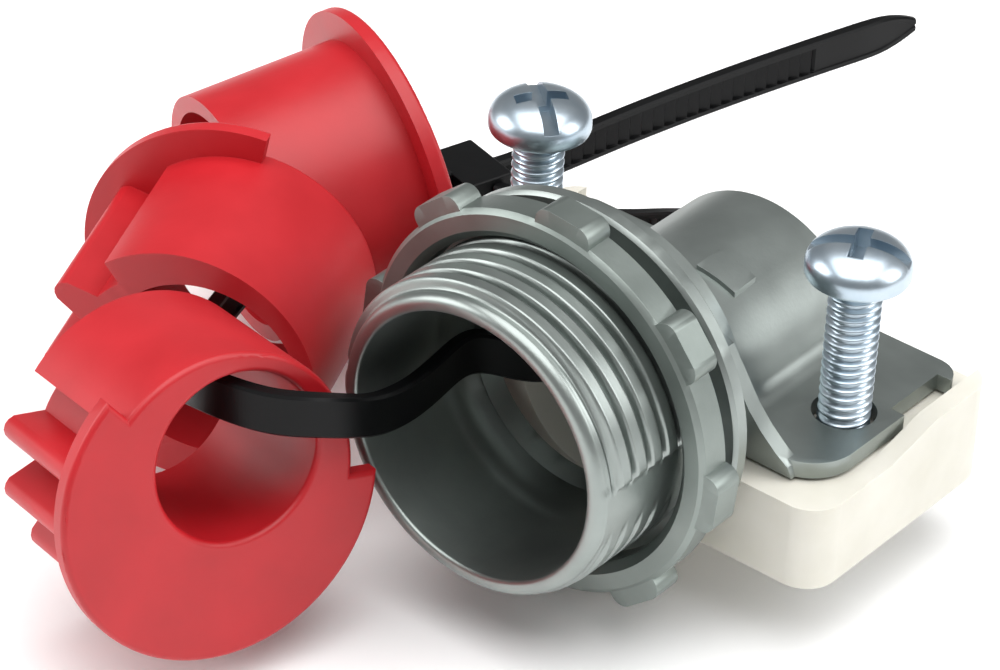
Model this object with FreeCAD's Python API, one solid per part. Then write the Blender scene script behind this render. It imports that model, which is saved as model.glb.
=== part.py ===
import FreeCAD, Part
import math
import os

# Die-cast connector with a locknut, a clamp saddle, two clamp screws, a cable tie and three bushings.
# Row frame: origin at the centre of the shoulder's front face, nose along -Y, cable side along +Y,
# clamp screws along +Z. Millimetres throughout.

V = FreeCAD.Vector

# ---- clearances
RUN = 0.30            # between any two pieces that move past each other
SEAT = 0.30           # gap left where a piece comes to rest on another

# ---- nose, shoulder and throat (3/4 in trade size)
NOSE_LEN = 12.5
THREAD_R = 13.2
ROOT_R = 12.35
PITCH = 1.814
BORE_R = 11.0
STOP_R = 9.2
STOP_FRONT = -3.2
SHOULDER_R = 15.3
SHOULDER_T = 1.6
RIM_FLAT = 0.9
FIRST_CREST = 2.0      # from the rim to the middle of the first thread crest

# ---- neck, web, hood and ears
NECK_R = 12.2
WEB_Y0 = 3.9
WEB_Y1 = 5.3
WEB_LEAN = 0.25       # how far the web leans back per millimetre down from WEB_TILT_Z
WEB_TILT_Z = 3.0
HOOD_Z = -4.9
HOOD_R = 9.7
HOOD_WALL = 1.55
HOOD_END = 24.0
FOOT_FILLET = 1.9
EAR_TOP = -3.0
EAR_BOTTOM = -4.4
EAR_X = 19.1
EAR_Y0 = 5.9
EAR_Y1 = 24.8
EAR_CORNER = 4.0
EAR_REAR_CORNER = 2.2
NOTCH_Y0 = 16.7
NOTCH_Y1 = 23.0
NOTCH_D = 1.3
PAD_H = 0.4

# ---- clamp screws, no. 8-32 by 7/8 in
SCREW_X = 15.3
SCREW_Y = 14.1
SCREW_R = 2.085
SCREW_ROOT_R = 1.65
SCREW_PITCH = 0.794
SCREW_LEN = 22.2
HEAD_R = 4.1
HEAD_H = 3.0
HEAD_SEAT_Z = 9.4
SLOT_W = 1.2
SLOT_D = 1.4
CROSS_L = 4.2
EAR_HOLE_R = 2.55

# ---- saddle
SADDLE_X = 21.0
SADDLE_Y0 = 3.3
SADDLE_Y1 = 26.5
SADDLE_Z0 = -12.0
SADDLE_Z1 = EAR_BOTTOM - SEAT
SADDLE_CORNER = 2.8
LIP_Z = -3.4          # end walls rise beside the ears
LIP_Y0 = 12.6
LIP_Y1 = 18.5
CHANNEL_R = 7.6
CHANNEL_Z = -3.1
RIDGE_N = 6
RIDGE_H = 0.7

# ---- locknut
NUT_BORE_R = THREAD_R + RUN
NUT_RING_R = 15.9
NUT_BACK = -2.15
NUT_T = 2.7
NUT_CHAMFER = 0.7
LUG_N = 8
LUG_R = 17.1
LUG_W = 5.0
LUG_PHASE = 39.5
LUG_BACK = -2.05

# ---- bushings, all three made for the same throat
FLANGE_R = 13.16
FLANGE_T = 1.4
SLEEVE_R = 10.7
SLEEVE_OFF = 0.6
THIN_WALL = 1.5
VALLEY_R = 8.4
FIN_R = 11.4
FIN_HALF = 1.5
FIN_TIP = 0.95
HORN = 69.0
ROUND = 0.45

# bore radius, sleeve length, half angle of the thin shell, fins, angle between fins
SMALL = (6.7, 13.6, 76.0, 7, 26.5)
MEDIUM = (7.9, 15.2, 114.0, 3, 39.0)
LARGE = (9.3, 14.8, 180.0, 0, 0.0)
# where each hangs on the tie: centre of its flange face, outward axis, thin side
SMALL_AT = ((-11.4, -26.7, -2.4), (0.934, -0.313, 0.175), (0.012, 0.515, 0.857))
MEDIUM_AT = ((-34.4, 1.0, -5.1), (-0.38, 0.92, 0.05), (0.909, 0.368, 0.176))
LARGE_AT = ((-34.5, 19.0, -3.5), (0.377, 0.913, 0.159), (0.0, 0.0, 1.0))

# ---- cable tie, 3.6 mm nylon
TIE_W = 3.6
TIE_T = 1.2
TIE_PATH = [
    (-31.8, 30.0, -11.9), (-27.5, 31.0, -12.0), (-22.0, 31.8, -11.2), (-16.0, 32.7, -9.0),
    (-10.5, 32.0, -6.2), (-6.6, 30.2, -3.6), (-5.2, 26.2, -2.4), (-4.9, 21.0, -2.2),
    (-4.8, 15.0, -2.1), (-4.5, 9.0, -2.2), (-4.6, 4.4, -2.4), (-6.2, 0.7, -1.4),
    (-8.1, -2.4, -0.2), (-8.3, -5.6, -0.5), (-8.0, -9.4, -0.7), (-7.6, -13.2, 0.1),
    (-7.2, -16.7, 1.7), (-8.1, -20.1, 3.1), (-10.3, -22.9, 3.9), (-13.2, -24.0, 4.1),
    (-16.5, -23.5, 3.3), (-20.2, -21.6, 1.5), (-23.6, -18.4, -0.4), (-26.6, -13.2, -2.4),
    (-30.1, -6.0, -4.1), (-33.2, 2.0, -5.0), (-35.6, 9.0, -5.8), (-36.6, 15.0, -7.0),
    (-36.6, 22.0, -9.0), (-35.7, 27.0, -11.0), (-34.4, 32.0, -11.8), (-31.0, 44.0, -11.2),
    (-21.7, 77.3, -10.5),
]
TIE_HEAD = (-35.0, 30.2, -12.0)
HEAD_W = 6.4
HEAD_D = 4.6
HEAD_Z = 5.0
TIE_DIR = 15.6        # degrees the tail leans from +Y toward +X


def cyl_y(r, y0, y1, x=0.0, z=0.0):
    """Cylinder along Y from y0 to y1."""
    return Part.makeCylinder(r, y1 - y0, V(x, y0, z), V(0, 1, 0))


def box(x0, x1, y0, y1, z0, z1):
    return Part.makeBox(x1 - x0, y1 - y0, z1 - z0, V(x0, y0, z0))


def prism(pts, vec):
    """Extrude a closed polygon of 3-D points."""
    loop = [V(*p) for p in pts]
    wire = Part.makePolygon(loop + [loop[0]])
    return Part.Face(wire).extrude(V(*vec))


def fuse(parts):
    out = parts[0].multiFuse(parts[1:])
    return out.removeSplitter()


def cut(base, tools):
    return base.cut(Part.makeCompound(tools)).removeSplitter()


def round_edges(shape, r, keep):
    """Round the edges that keep() picks."""
    edges = [e for e in shape.Edges if keep(e)]
    if not edges:
        return shape
    return shape.makeFillet(r, edges)


def is_vertical(e):
    a = e.Vertexes[0].Point
    b = e.Vertexes[-1].Point
    return abs(a.x - b.x) < 1e-4 and abs(a.y - b.y) < 1e-4 and abs(a.z - b.z) > 0.5


def save(name, shape):
    if shape.ShapeType != "Solid":
        if len(shape.Solids) == 1:
            shape = shape.Solids[0]
    print(name, shape.ShapeType, len(shape.Solids), shape.isValid(), round(shape.Volume, 1))
    shape.exportStep("parts/" + name + ".step")
    return shape


def nose_profile():
    """Half section of the threaded nose, ring crests standing in for the helix."""
    pts = [(BORE_R, -NOSE_LEN), (BORE_R + RIM_FLAT, -NOSE_LEN), (ROOT_R, -NOSE_LEN + 0.55)]
    y = -NOSE_LEN + FIRST_CREST - PITCH * 0.43
    while y + PITCH * 0.86 < LUG_BACK:
        pts += [(ROOT_R, y), (THREAD_R, y + PITCH * 0.36), (THREAD_R, y + PITCH * 0.50)]
        pts += [(ROOT_R, y + PITCH * 0.86)]
        y += PITCH
    pts += [(ROOT_R, 0.0), (SHOULDER_R - 0.3, 0.0), (SHOULDER_R, 0.3), (SHOULDER_R, SHOULDER_T - 0.3)]
    pts += [(SHOULDER_R - 0.3, SHOULDER_T), (STOP_R, SHOULDER_T)]
    pts += [(BORE_R, STOP_FRONT)]
    return pts


def revolve_y(pts):
    loop = [V(r, y, 0) for r, y in pts]
    face = Part.Face(Part.makePolygon(loop + [loop[0]]))
    return face.revolve(V(0, 0, 0), V(0, 1, 0), 360)


def connector_body():
    nose = revolve_y(nose_profile())
    above = box(-30, 30, SHOULDER_T - 0.2, WEB_Y1, EAR_BOTTOM, 30)
    neck = cyl_y(NECK_R, SHOULDER_T - 0.2, WEB_Y1).cut(cyl_y(STOP_R, 0, WEB_Y0 - 1.0)).common(above)
    web_pts = [(16.6, EAR_BOTTOM), (16.3, -3.4), (15.3, -2.4), (14.1, -0.8), (13.1, 1.0), (12.3, 3.2)]
    web_pts += [(11.2, 6.1), (7.4, 8.4), (2.5, 9.7)]
    ring = web_pts + [(-x, z) for x, z in reversed(web_pts)]
    web = prism([(x, WEB_Y0 + WEB_LEAN * (WEB_TILT_Z - z), z) for x, z in ring], (0, WEB_Y1 - WEB_Y0, 0))
    hood = cyl_y(HOOD_R, WEB_Y0, HOOD_END, 0, HOOD_Z)
    hood = hood.common(box(-30, 30, 0, 40, EAR_BOTTOM, 30))
    plate = box(-EAR_X, EAR_X, EAR_Y0, EAR_Y1, EAR_BOTTOM, EAR_TOP)
    for y, r in ((EAR_Y0, EAR_CORNER), (EAR_Y1, EAR_REAR_CORNER)):
        plate = round_edges(plate, r, lambda e: is_vertical(e) and abs(e.Vertexes[0].Point.y - y) < 1e-3)
    foot = fuse([hood, plate])

    def at_foot(e):
        c = e.CenterOfMass
        return abs(c.z - EAR_TOP) < 0.05 and abs(abs(c.x) - HOOD_R) < 0.9 and e.Length > 10
    foot = round_edges(foot, FOOT_FILLET, at_foot)
    pad = prism([(1.8, 12.4, 1.0), (5.2, 12.9, 1.0), (5.1, 15.7, 1.0), (1.7, 15.3, 1.0)], (0, 0, 6))
    pad = pad.common(cyl_y(HOOD_R + PAD_H, 11, 17, 0, HOOD_Z).cut(cyl_y(HOOD_R - 0.5, 10, 18, 0, HOOD_Z)))
    body = fuse([nose, neck, web, foot, pad])
    tools = [cyl_y(HOOD_R - HOOD_WALL, WEB_Y0 - 1.4, HOOD_END + 5, 0, HOOD_Z)]
    tools.append(cyl_y(STOP_R, -1.0, WEB_Y0 - 1.0))
    for s in (-1, 1):
        tools.append(Part.makeCylinder(EAR_HOLE_R, 10, V(s * SCREW_X, SCREW_Y, -9)))
        x0 = s * (EAR_X - NOTCH_D)
        x1 = s * (EAR_X + 2)
        tools.append(box(min(x0, x1), max(x0, x1), NOTCH_Y0, NOTCH_Y1, -6, 0))
    return cut(body, tools)


def locknut():
    y1 = NUT_BACK
    y0 = NUT_BACK - NUT_T
    pts = [(NUT_BORE_R, y1), (NUT_BORE_R, y0 + NUT_CHAMFER), (NUT_BORE_R + NUT_CHAMFER, y0)]
    pts += [(NUT_RING_R - 0.4, y0), (NUT_RING_R, y0 + 0.4), (NUT_RING_R, y1)]
    ring = revolve_y(pts)
    lugs = []
    for k in range(LUG_N):
        a = math.radians(LUG_PHASE + k * 360.0 / LUG_N)
        lug = box(NUT_RING_R - 1.3, LUG_R, y0 + 0.25, LUG_BACK, -LUG_W / 2, LUG_W / 2)

        def outer(e):
            c = e.CenterOfMass
            return abs(c.x - LUG_R) < 1e-3 and abs(abs(c.z) - LUG_W / 2) < 1e-3
        lug = round_edges(lug, 1.1, outer)
        lug.rotate(V(0, 0, 0), V(0, 1, 0), -math.degrees(a))
        lugs.append(lug)
    return fuse([ring] + lugs)


def clamp_saddle():
    s = box(-SADDLE_X, SADDLE_X, SADDLE_Y0, SADDLE_Y1, SADDLE_Z0, SADDLE_Z1)
    for x in (-1, 1):
        x0 = x * (EAR_X + RUN)
        lip = prism([(x0, LIP_Y0, SADDLE_Z1), (x0, LIP_Y1, LIP_Z), (x0, SADDLE_Y1, LIP_Z),
                     (x0, SADDLE_Y1, SADDLE_Z1 - 0.5), (x0, LIP_Y0, SADDLE_Z1 - 0.5)],
                    (x * (SADDLE_X - EAR_X - RUN), 0, 0))
        s = fuse([s, lip])

    def outer(e):
        return is_vertical(e) and abs(abs(e.Vertexes[0].Point.x) - SADDLE_X) < 1e-3
    s = round_edges(s, SADDLE_CORNER, outer)
    tools = [cyl_y(CHANNEL_R, 0, 40, 0, CHANNEL_Z)]
    pocket = box(-SCREW_X + 4.6, SCREW_X - 4.6, SADDLE_Y0 + 2.2, SADDLE_Y1 - 2.2, SADDLE_Z0 - 1, -11.2)
    for x in (-1, 1):
        tools.append(Part.makeCylinder(SCREW_R + RUN, 20, V(x * SCREW_X, SCREW_Y, -20)))
        for y0, y1 in ((SADDLE_Y0 + 2.0, SCREW_Y - 4.6), (SCREW_Y + 4.6, SADDLE_Y1 - 2.0)):
            x0 = x * (SCREW_X - 4.4)
            x1 = x * (SADDLE_X - 2.0)
            tools.append(box(min(x0, x1), max(x0, x1), y0, y1, SADDLE_Z0 - 1, SADDLE_Z1 - 1.8))
    s = cut(s, tools)
    bottom = CHANNEL_Z - CHANNEL_R
    ridges = []
    step = (SADDLE_Y1 - SADDLE_Y0 - 4.0) / RIDGE_N
    for k in range(RIDGE_N):
        y = SADDLE_Y0 + 2.0 + step * (k + 0.5)
        pts = [(-5.0, y - 0.9, bottom - 0.4), (-5.0, y + 0.9, bottom - 0.4), (-5.0, y, bottom + RIDGE_H)]
        ridges.append(prism(pts, (10.0, 0, 0)))
    return fuse([s] + ridges)


def clamp_screw(side):
    z_tip = HEAD_SEAT_Z - SCREW_LEN
    pts = [(0, z_tip), (SCREW_ROOT_R - 0.2, z_tip), (SCREW_ROOT_R, z_tip + 0.3)]
    z = z_tip + 0.4
    while z < HEAD_SEAT_Z - 1.6:
        pts += [(SCREW_ROOT_R, z), (SCREW_R, z + SCREW_PITCH * 0.42), (SCREW_R, z + SCREW_PITCH * 0.55)]
        pts += [(SCREW_ROOT_R, z + SCREW_PITCH * 0.95)]
        z += SCREW_PITCH
    pts += [(SCREW_ROOT_R, HEAD_SEAT_Z), (HEAD_R - 0.35, HEAD_SEAT_Z), (HEAD_R, HEAD_SEAT_Z + 0.45)]
    pts += [(HEAD_R, HEAD_SEAT_Z + 1.1)]
    for k in range(1, 7):
        a = math.radians(k * 15)
        top = HEAD_H - 1.1
        pts.append((HEAD_R * math.cos(a) ** 0.8, HEAD_SEAT_Z + 1.1 + top * math.sin(a)))
    pts[-1] = (0, HEAD_SEAT_Z + HEAD_H)
    loop = [V(r, 0, z) for r, z in pts]
    body = Part.Face(Part.makePolygon(loop + [loop[0]])).revolve(V(0, 0, 0), V(0, 0, 1), 360)
    top = HEAD_SEAT_Z + HEAD_H
    slot = box(-HEAD_R - 1, HEAD_R + 1, -SLOT_W / 2, SLOT_W / 2, top - SLOT_D, top + 1)
    cross = box(-SLOT_W / 2, SLOT_W / 2, -CROSS_L / 2, CROSS_L / 2, top - SLOT_D - 0.5, top + 1)
    well = Part.makeCone(0.6, 1.25, 1.6, V(0, 0, top - SLOT_D - 1.2))
    body = cut(body, [slot, cross, well])
    body.rotate(V(0, 0, 0), V(0, 0, 1), 24 if side > 0 else -38)
    body.translate(V(side * SCREW_X, SCREW_Y, 0))
    return body


def place(shape, origin, axis, thin):
    n = V(*axis)
    n.normalize()
    u = V(*thin)
    u = u - n * u.dot(n)
    u.normalize()
    v = n.cross(u)
    m = FreeCAD.Matrix(u.x, v.x, n.x, origin[0], u.y, v.y, n.y, origin[1],
                       u.z, v.z, n.z, origin[2], 0, 0, 0, 1)
    return shape.transformed(m)


def bushing(bore_r, length, shell_half, fin_n, fin_step):
    """Local frame: outward along +Z from the flange face at z=0, thin side along +X."""
    def disc(r, z0, z1, x=0.0):
        return Part.makeCylinder(r, z1 - z0, V(x, 0, z0), V(0, 0, 1))
    z_end = -length
    if fin_n == 0:
        sleeve = disc(SLEEVE_R, z_end, -FLANGE_T / 2)
        body = fuse([disc(FLANGE_R, -FLANGE_T, 0), sleeve])
        body = cut(body, [disc(bore_r, z_end - 1, 1)])
    else:
        ecc = SLEEVE_OFF + SLEEVE_R - THIN_WALL - bore_r
        core = disc(bore_r + THIN_WALL, z_end, -FLANGE_T / 2, ecc)
        floor = disc(VALLEY_R, z_end, -FLANGE_T / 2)
        far = 3.0 * FLANGE_R
        a = math.radians(shell_half)
        arc = [(0, 0, z_end)]
        for k in range(-4, 5):
            arc.append((far * math.cos(a * k / 4.0), far * math.sin(a * k / 4.0), z_end))
        wedge = prism(arc, (0, 0, length - FLANGE_T / 2))
        shell = disc(SLEEVE_R, z_end, -FLANGE_T / 2, SLEEVE_OFF).common(wedge)
        fins = []
        for i in range(fin_n):
            half = [(2.0, FIN_HALF), (VALLEY_R - 0.3, FIN_HALF), (FIN_R - 0.6, FIN_TIP)]
            half += [(FIN_R - 0.2, FIN_TIP * 0.65), (FIN_R, FIN_TIP * 0.25)]
            pts = [(x, -y, z_end) for x, y in half] + [(x, y, z_end) for x, y in reversed(half)]
            f = prism(pts, (0, 0, length - FLANGE_T / 2))
            f.rotate(V(0, 0, 0), V(0, 0, 1), 180 + (i - (fin_n - 1) / 2.0) * fin_step)
            fins.append(f)
        h = math.radians(HORN)
        out = prism([(0, 0, -FLANGE_T), (far * math.cos(h), far * math.sin(h), -FLANGE_T),
                     (far, far, -FLANGE_T), (far, -far, -FLANGE_T),
                     (far * math.cos(h), -far * math.sin(h), -FLANGE_T)], (0, 0, FLANGE_T))
        flange = disc(FLANGE_R, -FLANGE_T, 0).cut(out)
        flange = fuse([flange, disc(SLEEVE_R, -FLANGE_T, 0, SLEEVE_OFF)])
        body = fuse([core, floor, shell, flange] + fins)
        body = cut(body, [disc(bore_r, z_end - 1, 1, ecc)])

    def face_edges(e):
        c = e.BoundBox
        return c.ZMin > -1e-3 and c.ZMax < 1e-3
    return round_edges(body, ROUND, face_edges)


def cable_tie():
    pts = [V(*p) for p in TIE_PATH]
    curve = Part.BSplineCurve()
    curve.interpolate(pts)
    spine = Part.Wire([curve.toShape()])
    t = curve.tangent(curve.FirstParameter)[0]
    side = V(0, 0, 1).cross(t)
    side.normalize()
    up = V(0, 0, 1)
    c = pts[0]
    corners = []
    for a, b in ((-1, -1), (1, -1), (1, 1), (-1, 1)):
        corners.append(c + side * (a * TIE_T / 2) + up * (b * TIE_W / 2))
    profile = Part.makePolygon(corners + [corners[0]])
    shell = Part.BRepOffsetAPI.MakePipeShell(spine)
    shell.setBiNormalMode(V(0, 0, 1))
    shell.add(profile, False, False)
    shell.build()
    shell.makeSolid()
    strap = shell.shape()
    hx, hy, hz = TIE_HEAD
    head = box(-HEAD_W / 2, HEAD_W / 2, -HEAD_D / 2, HEAD_D / 2, -HEAD_Z / 2, HEAD_Z / 2)
    head = round_edges(head, 0.9, is_vertical)
    slot = box(-TIE_T / 2 - 0.35, TIE_T / 2 + 0.35, -9, 9, -TIE_W / 2 - 0.35, TIE_W / 2 + 0.35)
    head = head.cut(slot)
    head.rotate(V(0, 0, 0), V(0, 0, 1), -TIE_DIR)
    head.translate(V(hx, hy, hz))
    return fuse([strap, head])


def main():
    os.makedirs("parts", exist_ok=True)
    save("connector_body", connector_body())
    save("locknut", locknut())
    save("clamp_saddle", clamp_saddle())
    save("clamp_screw_right", clamp_screw(1))
    save("clamp_screw_left", clamp_screw(-1))
    save("bushing_small", place(bushing(*SMALL), *SMALL_AT))
    save("bushing_medium", place(bushing(*MEDIUM), *MEDIUM_AT))
    save("bushing_large", place(bushing(*LARGE), *LARGE_AT))
    save("cable_tie", cable_tie())


main()
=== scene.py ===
import math
import bmesh
import bpy
from mathutils import Matrix, Vector, noise


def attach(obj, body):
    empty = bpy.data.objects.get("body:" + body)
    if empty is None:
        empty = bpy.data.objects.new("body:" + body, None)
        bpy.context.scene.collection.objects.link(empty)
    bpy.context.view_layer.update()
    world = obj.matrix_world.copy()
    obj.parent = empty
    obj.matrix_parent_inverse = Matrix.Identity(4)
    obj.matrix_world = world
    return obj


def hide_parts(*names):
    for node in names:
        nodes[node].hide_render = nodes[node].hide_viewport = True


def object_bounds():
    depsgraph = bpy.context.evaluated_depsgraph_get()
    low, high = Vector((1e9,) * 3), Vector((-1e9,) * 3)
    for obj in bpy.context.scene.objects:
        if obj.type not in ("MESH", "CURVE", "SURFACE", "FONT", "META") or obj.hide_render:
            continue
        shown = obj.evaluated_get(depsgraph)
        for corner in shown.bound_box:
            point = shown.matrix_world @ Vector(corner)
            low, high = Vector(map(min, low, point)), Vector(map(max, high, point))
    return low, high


MM = 0.001
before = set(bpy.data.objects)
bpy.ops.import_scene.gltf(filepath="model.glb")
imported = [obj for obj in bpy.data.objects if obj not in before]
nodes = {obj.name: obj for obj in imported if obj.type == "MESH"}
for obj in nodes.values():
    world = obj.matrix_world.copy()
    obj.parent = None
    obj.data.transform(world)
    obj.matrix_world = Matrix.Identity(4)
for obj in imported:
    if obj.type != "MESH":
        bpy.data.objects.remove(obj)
cad_low, cad_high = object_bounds()

# ---------------------------------------------------------------- sizes shared with the CAD, in mm
PITCH = 1.814            # nose thread, 14 per inch
CREST_R = 13.2
ROOT_R = 12.35
NOSE_LEN = 12.5
BORE_R = 11.0
STOP_FRONT = -3.2
STOP_R_AT_FACE = 9.8     # the throat's taper where it passes the shoulder face
FIRST_CREST = 2.0        # from the rim to the thread crest, at CREST_TURN
CREST_TURN = 70.0        # degrees from +X toward +Z
LOW_SIDE = 0.40          # height of the crests on the nose's lower half, as a share of the upper half's
TRIMMED = 0.25           # the same beside the parting lines
NOSE_STEP = 0.1          # between rows of the thread's mesh
RIM_WAVE = 0.05
SCREW_X = 15.3
SCREW_Y = 14.1
SCREW_CREST_R = 2.085
SCREW_ROOT_R = 1.65
SCREW_PITCH = 0.794      # 32 per inch
HEAD_R = 4.1
HEAD_H = 3.0
HEAD_SEAT_Z = 9.4
SCREW_LEN = 22.2
SCREW_STEP = 0.0992      # between rows of the shank's mesh, eight to a thread
CROWN_START = 0.9        # height of the head's upright rim
DRIVE_W = 1.2            # width of the slot and of the cross slot
CROSS_L = 4.2
TIE_W = 3.6
TIE_T = 1.2
TOOTH_PITCH = 1.25
TOOTH_H = 0.34
TOOTH_FOOT = 0.42        # depth of the gap between two teeth
BARE_D = 0.12            # depth between the rails where there are no teeth
RAIL_W = 0.55
RAIL_FOOT = 0.62         # where a rail's slope meets the bed
STRAP_EDGE = 0.18
STRAP_BACK_EDGE = 0.22
SLOT_ROOM_T = 0.7        # how much wider the head's slot is than the strap
SLOT_ROOM_W = 0.5
TIE_POINTS = [
    (-31.8, 30.0, -11.9), (-27.5, 31.0, -12.0), (-22.0, 31.8, -11.2), (-16.0, 32.7, -9.0),
    (-10.5, 32.0, -6.2), (-6.6, 30.2, -3.6), (-5.2, 26.2, -2.4), (-4.9, 21.0, -2.2),
    (-4.8, 15.0, -2.1), (-4.5, 9.0, -2.2), (-4.6, 4.4, -2.4), (-6.2, 0.7, -1.4),
    (-8.1, -2.4, -0.2), (-8.3, -5.6, -0.5), (-8.0, -9.4, -0.7), (-7.6, -13.2, 0.1),
    (-7.2, -16.7, 1.7), (-8.1, -20.1, 3.1), (-10.3, -22.9, 3.9), (-13.2, -24.0, 4.1),
    (-16.5, -23.5, 3.3), (-20.2, -21.6, 1.5), (-23.6, -18.4, -0.4), (-26.6, -13.2, -2.4),
    (-30.1, -6.0, -4.1), (-33.2, 2.0, -5.0), (-35.6, 9.0, -5.8), (-36.6, 15.0, -7.0),
    (-36.6, 22.0, -9.0), (-35.7, 27.0, -11.0), (-34.4, 32.0, -11.8), (-31.0, 44.0, -11.2),
    (-21.7, 77.3, -10.5),
]
TIE_HEAD = (-35.0, 30.2, -12.0)
TIE_HEAD_SIZE = (6.4, 4.6, 5.0)
HEAD_TURN = 15.6         # degrees from +Y toward +X

# ---------------------------------------------------------------- view
AZIMUTH = 38.31          # degrees round from straight ahead of the nose
ELEVATION = 35.5
ROLL = 2.48
DISTANCE = 330.0         # from the middle of the nose's rim, mm
LENS = 161.1
AIM_RIGHT = 0.00708      # where the camera points, off the rim's middle, per unit of distance
AIM_UP = 0.02538
LIGHT_AIM = (0, 5, -2)   # what the lamps point at, mm
FLOOR_Z = cad_low.z - 0.0002
FLOOR_HALF = 3.0


# ---------------------------------------------------------------- materials
def linear(hex_colour):
    """sRGB hex to a linear RGBA tuple."""
    out = []
    for k in (1, 3, 5):
        c = int(hex_colour[k:k + 2], 16) / 255.0
        out.append(c / 12.92 if c <= 0.04045 else ((c + 0.055) / 1.055) ** 2.4)
    return (*out, 1.0)


def add(tree, kind, settings=None, links=None):
    """Adds one node, sets its sockets' values, and links sockets to other nodes' outputs."""
    node = tree.nodes.new(kind)
    for key, value in (settings or {}).items():
        node.inputs[key].default_value = value
    for socket, source in (links or {}).items():
        tree.links.new(source, node.inputs[socket])
    return node


def surface(name, colours, rough, grain_mm, bump_mm, metallic=0.0, ior=1.5, mottle_mm=6.0, extra=None):
    """Principled surface: slow colour mottle, roughness that changes with the same mottle, fine grain in the
    bump.
    """
    mat = bpy.data.materials.new(name)
    mat.use_nodes = True
    tree = mat.node_tree
    tree.nodes.clear()
    where = add(tree, "ShaderNodeTexCoord").outputs["Object"]
    slow = add(tree, "ShaderNodeTexNoise", {"Scale": 1000.0 / mottle_mm, "Detail": 3.0}, {"Vector": where})
    ramp = add(tree, "ShaderNodeValToRGB", {}, {"Fac": slow.outputs["Fac"]})
    ramp.color_ramp.elements[0].position = 0.3
    ramp.color_ramp.elements[0].color = linear(colours[0])
    ramp.color_ramp.elements[1].position = 0.7
    ramp.color_ramp.elements[1].color = linear(colours[1])
    fine = add(tree, "ShaderNodeTexNoise", {"Scale": 1000.0 / grain_mm, "Detail": 4.0}, {"Vector": where})
    gloss = add(tree, "ShaderNodeMapRange", {"To Min": rough[0], "To Max": rough[1]},
                {"Value": slow.outputs["Fac"]})
    bump = add(tree, "ShaderNodeBump", {"Strength": 0.6, "Distance": bump_mm * MM},
               {"Height": fine.outputs["Fac"]})
    settings = {"Metallic": metallic}
    if metallic < 0.5:
        settings["IOR"] = ior
    settings.update(extra or {})
    shader = add(tree, "ShaderNodeBsdfPrincipled", settings,
                 {"Base Color": ramp.outputs["Color"], "Roughness": gloss.outputs["Result"],
                  "Normal": bump.outputs["Normal"]})
    add(tree, "ShaderNodeOutputMaterial", {}, {"Surface": shader.outputs["BSDF"]})
    return mat


# Zinc alloy, pressure die cast: cool grey metal with a slightly greenish cast and a silky skin.
zinc_casting = surface("die_cast_zinc", ("#8A918E", "#9AA19E"), (0.30, 0.40), 0.35, 0.012, metallic=0.9)
# The locknut is cast in the same alloy, a little duller from tumbling.
zinc_locknut = surface("tumbled_die_cast_zinc", ("#7C8480", "#8B938F"), (0.36, 0.48), 0.35, 0.015,
                       metallic=0.9)
# Steel with bright blue zinc plate: colder and glossier than the castings.
zinc_plate = surface("blue_zinc_plated_steel", ("#AEBECA", "#C3CED6"), (0.27, 0.36), 0.25, 0.005,
                     metallic=1.0, mottle_mm=3.0)
# Natural nylon, injection moulded: warm white, satin.
ivory_nylon = surface("natural_moulded_nylon", ("#CFCCC0", "#DAD7CD"), (0.42, 0.52), 0.5, 0.010, ior=1.53,
                      extra={"Subsurface Weight": 0.08, "Subsurface Radius": (0.8, 0.7, 0.5),
                             "Subsurface Scale": 0.001})
# Red polypropylene, injection moulded: saturated, satin, faintly waxy.
red_polypropylene = surface("red_moulded_polypropylene", ("#AA121B", "#B61922"), (0.36, 0.46), 0.5, 0.012,
                            ior=1.49, extra={"Subsurface Weight": 0.06,
                                             "Subsurface Radius": (1.0, 0.25, 0.2),
                                             "Subsurface Scale": 0.001})
# Black nylon 6/6 of a cable tie: deep black with a soft sheen on the ribs.
black_nylon = surface("black_moulded_nylon", ("#050506", "#0A0B0C"), (0.34, 0.46), 0.4, 0.008, ior=1.53,
                      extra={"Specular IOR Level": 0.15})


def dress(obj, mat):
    """Gives a whole object one material and one colour slot."""
    obj.data.materials.clear()
    obj.data.materials.append(mat)
    return obj


def soften(obj, width_mm, angle=32.0):
    """Welds the tessellation, rounds its sharp edges and evens its shading."""
    weld = obj.modifiers.new("weld", "WELD")
    weld.merge_threshold = 0.004 * MM
    bevel = obj.modifiers.new("round", "BEVEL")
    bevel.width = width_mm * MM
    bevel.segments = 3
    bevel.limit_method = "ANGLE"
    bevel.angle_limit = math.radians(angle)
    bevel.miter_outer = "MITER_ARC"
    bevel.use_clamp_overlap = True
    for p in obj.data.polygons:
        p.use_smooth = True
    even = obj.modifiers.new("even", "WEIGHTED_NORMAL")
    even.keep_sharp = True
    return obj


# ---------------------------------------------------------------- pieces
def piece(name, verts_mm, faces, mat, body, replaced=()):
    """A mesh given in millimetres in the row frame, dressed and riding on a body."""
    me = bpy.data.meshes.new(name)
    me.from_pydata([Vector(v) * MM for v in verts_mm], [], faces)
    me.validate()
    for p in me.polygons:
        p.use_smooth = True
    obj = bpy.data.objects.new(name, me)
    bpy.context.scene.collection.objects.link(obj)
    dress(obj, mat)
    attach(obj, body)
    if replaced:
        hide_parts(*replaced)
    return obj


def grid_faces(rows, cols, close_rows):
    """Quads of a grid whose columns wrap round, and whose rows do too when asked."""
    faces = []
    for i in range(rows if close_rows else rows - 1):
        k = (i + 1) % rows
        for j in range(cols):
            m = (j + 1) % cols
            faces.append((i * cols + j, i * cols + m, k * cols + m, k * cols + j))
    return faces


def lidded(rows, cols):
    """Faces of a stack of rings with a lid on each end."""
    faces = grid_faces(rows, cols, False)
    faces.append(tuple(reversed(range(cols))))
    faces.append(tuple(range((rows - 1) * cols, rows * cols)))
    return faces


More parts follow.
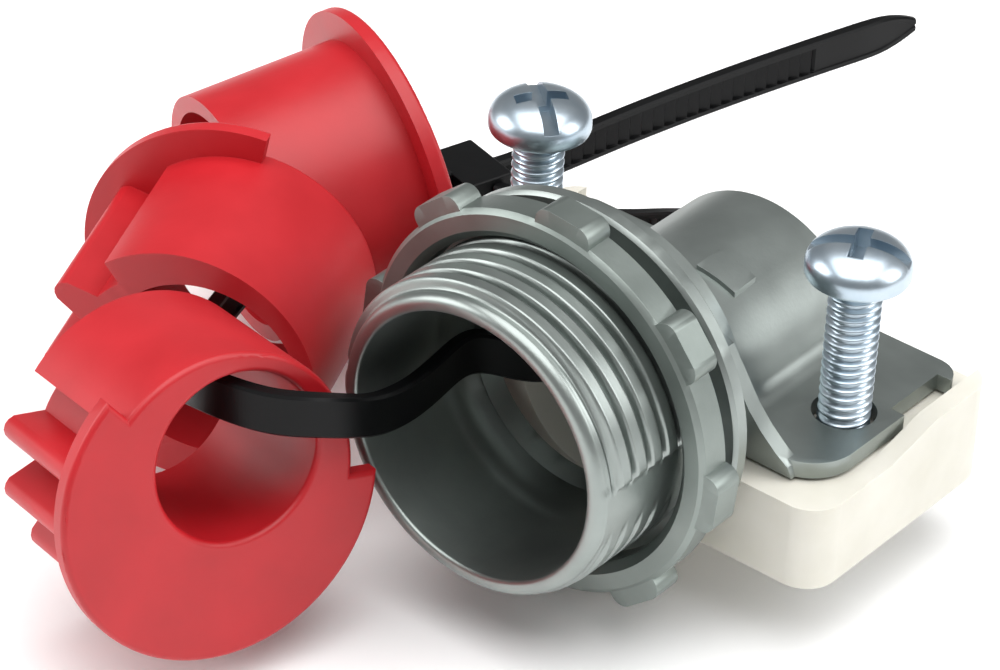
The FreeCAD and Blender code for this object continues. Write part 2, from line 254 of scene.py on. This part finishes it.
def ramp01(x, a, b):
    """Smooth rise from 0 at a to 1 at b."""
    t = min(max((x - a) / (b - a), 0.0), 1.0)
    return t * t * (3.0 - 2.0 * t)


def ridge(phase, half, flank):
    """Height 0 to 1 of a thread ridge at this many pitches from its crest line."""
    t = abs(phase - round(phase))
    return ramp01(half - t, 0.0, flank)


def nose_r(angle, y):
    """Outer radius of the nose: a right-hand thread with broad lands, trimmed along both parting lines."""
    crest = -NOSE_LEN + FIRST_CREST - PITCH * (angle - math.radians(CREST_TURN)) / math.tau
    high = ridge((y - crest) / PITCH, 0.45, 0.17)
    high *= ramp01(y, -NOSE_LEN + 0.9, -NOSE_LEN + 1.5) * ramp01(-y, 2.0, 2.4)
    turn = math.degrees(angle) % 360.0
    # full height on the upper half, trimmed flat beside each parting line, shallow on the lower half
    full = ramp01(turn, 6.0, 9.0) * ramp01(178.0 - turn, 0.0, 5.0)
    low = LOW_SIDE * ramp01(turn, 183.0, 190.0) * ramp01(-turn, -350.0, -335.0)
    flat = TRIMMED * (1.0 - max(full, low / LOW_SIDE))
    return ROOT_R + (CREST_R - ROOT_R) * (high * max(full, low) + flat)


def nose():
    """The threaded nose, as rings from the throat along the bore, over the rim and back to the shoulder."""
    rows = [(STOP_R_AT_FACE, 0.0), (BORE_R - 0.12, STOP_FRONT + 0.3), (BORE_R, STOP_FRONT - 0.3)]
    rows += [(BORE_R, -NOSE_LEN + 0.35), (BORE_R + 0.08, -NOSE_LEN + 0.1), (BORE_R + 0.25, -NOSE_LEN)]
    rows += [(BORE_R + 0.7, -NOSE_LEN), (BORE_R + 0.98, -NOSE_LEN + 0.09), (BORE_R + 1.2, -NOSE_LEN + 0.32)]
    y = -NOSE_LEN + 0.62
    while y < 0.1:
        rows.append((None, y))
        y += NOSE_STEP
    rows += [(ROOT_R, 0.25), (10.6, 0.3)]
    cols = 256
    verts = []
    for r, y in rows:
        for j in range(cols):
            a = math.tau * j / cols
            # the rim is not quite flat: the casting's trimmed edge waves a little
            wave = RIM_WAVE * noise.noise(Vector((2.2 * math.cos(a), 2.2 * math.sin(a), 0.0)))
            q = nose_r(a, y) if r is None else r
            end = wave if y < -NOSE_LEN + 0.5 else 0.0
            verts.append((q * math.cos(a), y + end, q * math.sin(a)))
    return piece("threaded_nose", verts, grid_faces(len(rows), cols, True), zinc_casting,
                 "connector")


def casting():
    """The rest of the connector: the CAD shape behind the shoulder face."""
    me = nodes["connector_body"].data.copy()
    me.transform(nodes["connector_body"].matrix_world)
    bm = bmesh.new()
    bm.from_mesh(me)
    bmesh.ops.remove_doubles(bm, verts=bm.verts, dist=0.002 * MM)
    bmesh.ops.bisect_plane(bm, geom=bm.verts[:] + bm.edges[:] + bm.faces[:], dist=1e-7,
                           plane_co=(0, -0.003 * MM, 0), plane_no=(0, 1, 0), clear_inner=True)
    bm.to_mesh(me)
    bm.free()
    obj = bpy.data.objects.new("connector_casting", me)
    bpy.context.scene.collection.objects.link(obj)
    dress(obj, zinc_casting)
    soften(obj, 0.28)
    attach(obj, "connector")
    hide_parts("connector_body")


def block(size, at, turn):
    """Eight corners and six faces of a box turned about Z."""
    c, s = math.cos(math.radians(turn)), math.sin(math.radians(turn))
    verts = []
    for x, y, z in [(x, y, z) for z in (-0.5, 0.5) for y in (-0.5, 0.5) for x in (-0.5, 0.5)]:
        x, y, z = x * size[0], y * size[1], z * size[2]
        verts.append((at[0] + c * x - s * y, at[1] + s * x + c * y, at[2] + z))
    faces = [(0, 2, 3, 1), (4, 5, 7, 6), (0, 1, 5, 4), (2, 6, 7, 3), (0, 4, 6, 2), (1, 3, 7, 5)]
    return verts, faces


def carve(obj, cutters):
    """Cuts closed meshes out of obj one after another, and keeps the result."""
    for verts, faces in cutters:
        me = bpy.data.meshes.new("cutter")
        me.from_pydata([Vector(v) * MM for v in verts], [], faces)
        tool = bpy.data.objects.new("cutter", me)
        bpy.context.scene.collection.objects.link(tool)
        mod = obj.modifiers.new("cut", "BOOLEAN")
        mod.operation = "DIFFERENCE"
        mod.solver = "EXACT"
        mod.object = tool
        bpy.context.view_layer.update()
        done = bpy.data.meshes.new_from_object(obj.evaluated_get(bpy.context.evaluated_depsgraph_get()))
        obj.modifiers.clear()
        obj.data = done
        bpy.data.objects.remove(tool)


def screw_shank(side, name):
    """The helical shank, from its tip up into the head."""
    cols = 40
    tip = HEAD_SEAT_Z - SCREW_LEN
    verts = []
    z = tip
    rows = 0
    while z < HEAD_SEAT_Z + 0.2:
        for j in range(cols):
            a = math.tau * j / cols
            high = ridge((z - SCREW_PITCH * a / math.tau) / SCREW_PITCH, 0.46, 0.40)
            high *= ramp01(z, tip + 0.2, tip + 1.0)
            r = SCREW_ROOT_R - 0.25 * ramp01(-z, -tip - 0.25, -tip)
            r += (SCREW_CREST_R - SCREW_ROOT_R) * high
            verts.append((side * SCREW_X + r * math.cos(a), SCREW_Y + r * math.sin(a), z))
        rows += 1
        z += SCREW_STEP
    piece(name + "_shank", verts, lidded(rows, cols), zinc_plate,
          name.removeprefix("clamp_"))


def screw_head(side, name, turn):
    """The domed head with its slot and shorter cross slot, which stands in for the CAD screw."""
    cols = 72
    top = HEAD_SEAT_Z + HEAD_H
    rows = [(SCREW_ROOT_R - 0.4, HEAD_SEAT_Z), (HEAD_R - 0.35, HEAD_SEAT_Z)]
    rows += [(HEAD_R - 0.1, HEAD_SEAT_Z + 0.1), (HEAD_R, HEAD_SEAT_Z + 0.35)]
    rows += [(HEAD_R, HEAD_SEAT_Z + CROWN_START)]
    for k in range(1, 12):
        a = math.radians(k * 7.5)
        rows.append((HEAD_R * math.cos(a) ** 0.85,
                     HEAD_SEAT_Z + CROWN_START + (HEAD_H - CROWN_START) * math.sin(a)))
    verts = []
    for r, z in rows:
        for j in range(cols):
            a = math.tau * j / cols
            verts.append((side * SCREW_X + r * math.cos(a), SCREW_Y + r * math.sin(a), z))
    head = piece(name + "_head", verts, lidded(len(rows), cols), zinc_plate,
                 name.removeprefix("clamp_"), [name])
    at = (side * SCREW_X, SCREW_Y)
    slot = block((12, DRIVE_W, 3), (*at, top + 0.1), turn)
    cross = block((DRIVE_W, CROSS_L, 3.4), (*at, top - 0.2), turn)
    carve(head, [slot, cross])
    soften(head, 0.07, 40)


def spline(points, step):
    """Natural cubic spline by chord length through the points: positions and tangents at even steps."""
    pts = [Vector(p) for p in points]
    u = [0.0]
    for a, b in zip(pts, pts[1:]):
        u.append(u[-1] + (b - a).length)
    n = len(pts)
    h = [u[i + 1] - u[i] for i in range(n - 1)]
    c = [0.0] * n
    d = [Vector((0, 0, 0)) for _ in range(n)]
    for i in range(1, n - 1):
        rhs = 6.0 * ((pts[i + 1] - pts[i]) / h[i] - (pts[i] - pts[i - 1]) / h[i - 1])
        den = 2.0 * (h[i - 1] + h[i]) - h[i - 1] * c[i - 1]
        c[i] = h[i] / den
        d[i] = (rhs - h[i - 1] * d[i - 1]) / den
    m = [Vector((0, 0, 0)) for _ in range(n)]
    for i in range(n - 2, 0, -1):
        m[i] = d[i] - c[i] * m[i + 1]
    out = []
    count = int(u[-1] / step)
    for k in range(count + 1):
        t = u[-1] * k / count
        i = max(j for j in range(n - 1) if u[j] <= t + 1e-9)
        a, b = u[i + 1] - t, t - u[i]
        p = (m[i] * a ** 3 + m[i + 1] * b ** 3) / (6 * h[i])
        p += (pts[i] / h[i] - m[i] * h[i] / 6) * a + (pts[i + 1] / h[i] - m[i + 1] * h[i] / 6) * b
        v = (m[i + 1] * b ** 2 - m[i] * a ** 2) / (2 * h[i])
        v += (pts[i + 1] - pts[i]) / h[i] - (m[i + 1] - m[i]) * h[i] / 6
        out.append((p, v.normalized(), t, u[-1]))
    return out


def tie():
    """The strap: smooth outside, and inside two rails with a ladder of teeth between them; then the head."""
    verts = []
    stations = spline(TIE_POINTS, TOOTH_PITCH / 5.0)
    for p, v, t, total in stations:
        side = Vector((0, 0, 1)).cross(v).normalized()
        left = total - t
        wide = TIE_W / 2 * (1.0 - 0.62 * (1.0 - min(left / 5.0, 1.0)) ** 2.2)
        thick = TIE_T / 2 * (0.55 + 0.45 * ramp01(left, 0.0, 7.0))
        saw = (t / TOOTH_PITCH) % 1.0
        bed = thick - TOOTH_FOOT + TOOTH_H * saw if 6.0 < t and left > 12.0 else thick - BARE_D
        ring = [(-thick, -wide + STRAP_BACK_EDGE), (-thick + STRAP_EDGE, -wide), (thick - STRAP_EDGE, -wide)]
        ring += [(thick, -wide + STRAP_EDGE), (thick, -wide + RAIL_W), (bed, -wide + RAIL_FOOT)]
        ring += [(bed, wide - RAIL_FOOT), (thick, wide - RAIL_W), (thick, wide - STRAP_EDGE)]
        ring += [(thick - STRAP_EDGE, wide), (-thick + STRAP_EDGE, wide), (-thick, wide - STRAP_BACK_EDGE)]
        ring += [(-thick, 0.0)]
        ring = [(-a, b) for a, b in reversed(ring)]
        verts += [p + side * a + Vector((0, 0, b)) for a, b in ring]
    faces = lidded(len(stations), len(ring))
    strap = piece("tie_strap", verts, faces, black_nylon, "tie", ["cable_tie"])
    for poly in strap.data.polygons:
        poly.use_smooth = False
    verts, faces = block(TIE_HEAD_SIZE, TIE_HEAD, -HEAD_TURN)
    head = piece("tie_head", verts, faces, black_nylon, "tie")
    carve(head, [block((TIE_T + SLOT_ROOM_T, 9, TIE_W + SLOT_ROOM_W), TIE_HEAD, -HEAD_TURN)])
    soften(head, 0.5)


LOOKS = {
    "locknut": (zinc_locknut, "zinc_locknut", 0.45),
    "clamp_saddle": (ivory_nylon, "white_plastic", 0.45),
    "bushing_small": (red_polypropylene, "red_plastic", 0.30),
    "bushing_medium": (red_polypropylene, "red_plastic", 0.30),
    "bushing_large": (red_polypropylene, "red_plastic", 0.30),
}
for name, (mat, slot, width) in LOOKS.items():
    soften(dress(nodes[name], mat), width)
# the pieces below stand in for these, which still carry a finish of their own
for name, mat, slot in (("connector_body", zinc_casting, "zinc_casting"),
                        ("clamp_screw_right", zinc_plate, "zinc_plated_steel"),
                        ("clamp_screw_left", zinc_plate, "zinc_plated_steel"),
                        ("cable_tie", black_nylon, "black_nylon")):
    dress(nodes[name], mat)
casting()
nose()
for side, name, turn in ((1, "clamp_screw_right", 24), (-1, "clamp_screw_left", -38)):
    screw_shank(side, name)
    screw_head(side, name, turn)
tie()

# ---------------------------------------------------------------- floor, light and camera
def plain_floor():
    """A white sheet under the object, in metres."""
    me = bpy.data.meshes.new("floor")
    half = FLOOR_HALF
    me.from_pydata([(-half, -half, FLOOR_Z), (half, -half, FLOOR_Z), (half, half, FLOOR_Z),
                    (-half, half, FLOOR_Z)], [], [(0, 1, 2, 3)])
    obj = bpy.data.objects.new("floor", me)
    bpy.context.scene.collection.objects.link(obj)
    mat = bpy.data.materials.new("white_paper")
    mat.use_nodes = True
    tree = mat.node_tree
    tree.nodes.clear()
    paper = add(tree, "ShaderNodeBsdfDiffuse", {"Color": linear("#FFFFFF")})
    add(tree, "ShaderNodeOutputMaterial", {}, {"Surface": paper.outputs["BSDF"]})
    me.materials.append(mat)


def softbox(name, at_mm, size_mm, watts):
    """A rectangular lamp that points at the connector."""
    light = bpy.data.lights.new(name, "AREA")
    light.shape = "RECTANGLE"
    light.size = size_mm[0] * MM
    light.size_y = size_mm[1] * MM
    light.energy = watts
    obj = bpy.data.objects.new(name, light)
    obj.location = Vector(at_mm) * MM
    toward = (Vector(LIGHT_AIM) - Vector(at_mm)).normalized()
    obj.rotation_mode = "QUATERNION"
    obj.rotation_quaternion = toward.to_track_quat("-Z", "Y")
    bpy.context.scene.collection.objects.link(obj)


def white_room():
    """White where the camera looks, and a weaker white as fill light."""
    world = bpy.data.worlds.new("white_room")
    bpy.context.scene.world = world
    world.use_nodes = True
    tree = world.node_tree
    tree.nodes.clear()
    path = add(tree, "ShaderNodeLightPath")
    seen = add(tree, "ShaderNodeBackground", {"Color": (1, 1, 1, 1), "Strength": 1.0})
    fill = add(tree, "ShaderNodeBackground", {"Color": (1, 1, 1, 1), "Strength": 0.30})
    mix = add(tree, "ShaderNodeMixShader", {}, {"Fac": path.outputs["Is Camera Ray"]})
    tree.links.new(fill.outputs["Background"], mix.inputs[1])
    tree.links.new(seen.outputs["Background"], mix.inputs[2])
    add(tree, "ShaderNodeOutputWorld", {}, {"Surface": mix.outputs["Shader"]})


def camera():
    """A long lens looking at the nose from its right and from above."""
    azimuth, elevation, roll = math.radians(AZIMUTH), math.radians(ELEVATION), math.radians(ROLL)
    back = Vector((math.sin(azimuth) * math.cos(elevation), -math.cos(azimuth) * math.cos(elevation),
                   math.sin(elevation)))
    right = Vector((math.cos(azimuth), math.sin(azimuth), 0.0))
    up = back.cross(right)
    rolled = right * math.cos(roll) + up * math.sin(roll)
    top = up * math.cos(roll) - right * math.sin(roll)
    at = Vector((0, -NOSE_LEN, 0)) * MM + back * DISTANCE * MM
    forward = (-back + rolled * AIM_RIGHT + top * AIM_UP).normalized()
    side = forward.cross(top).normalized()
    top = side.cross(forward)
    data = bpy.data.cameras.new("camera")
    data.sensor_width = 36.0
    data.lens = LENS
    data.clip_start = 0.01
    data.clip_end = 20.0
    obj = bpy.data.objects.new("camera", data)
    obj.matrix_world = Matrix(((side.x, top.x, -forward.x, at.x), (side.y, top.y, -forward.y, at.y),
                               (side.z, top.z, -forward.z, at.z), (0, 0, 0, 1)))
    bpy.context.scene.collection.objects.link(obj)
    bpy.context.scene.camera = obj


plain_floor()
white_room()
softbox("overhead", (30, -40, 420), (500, 500), 2.7)
softbox("left_front", (-380, -260, 220), (300, 300), 1.3)
softbox("right_rear", (360, 200, 240), (260, 300), 1.05)
camera()
bpy.context.scene.view_settings.view_transform = "Standard"
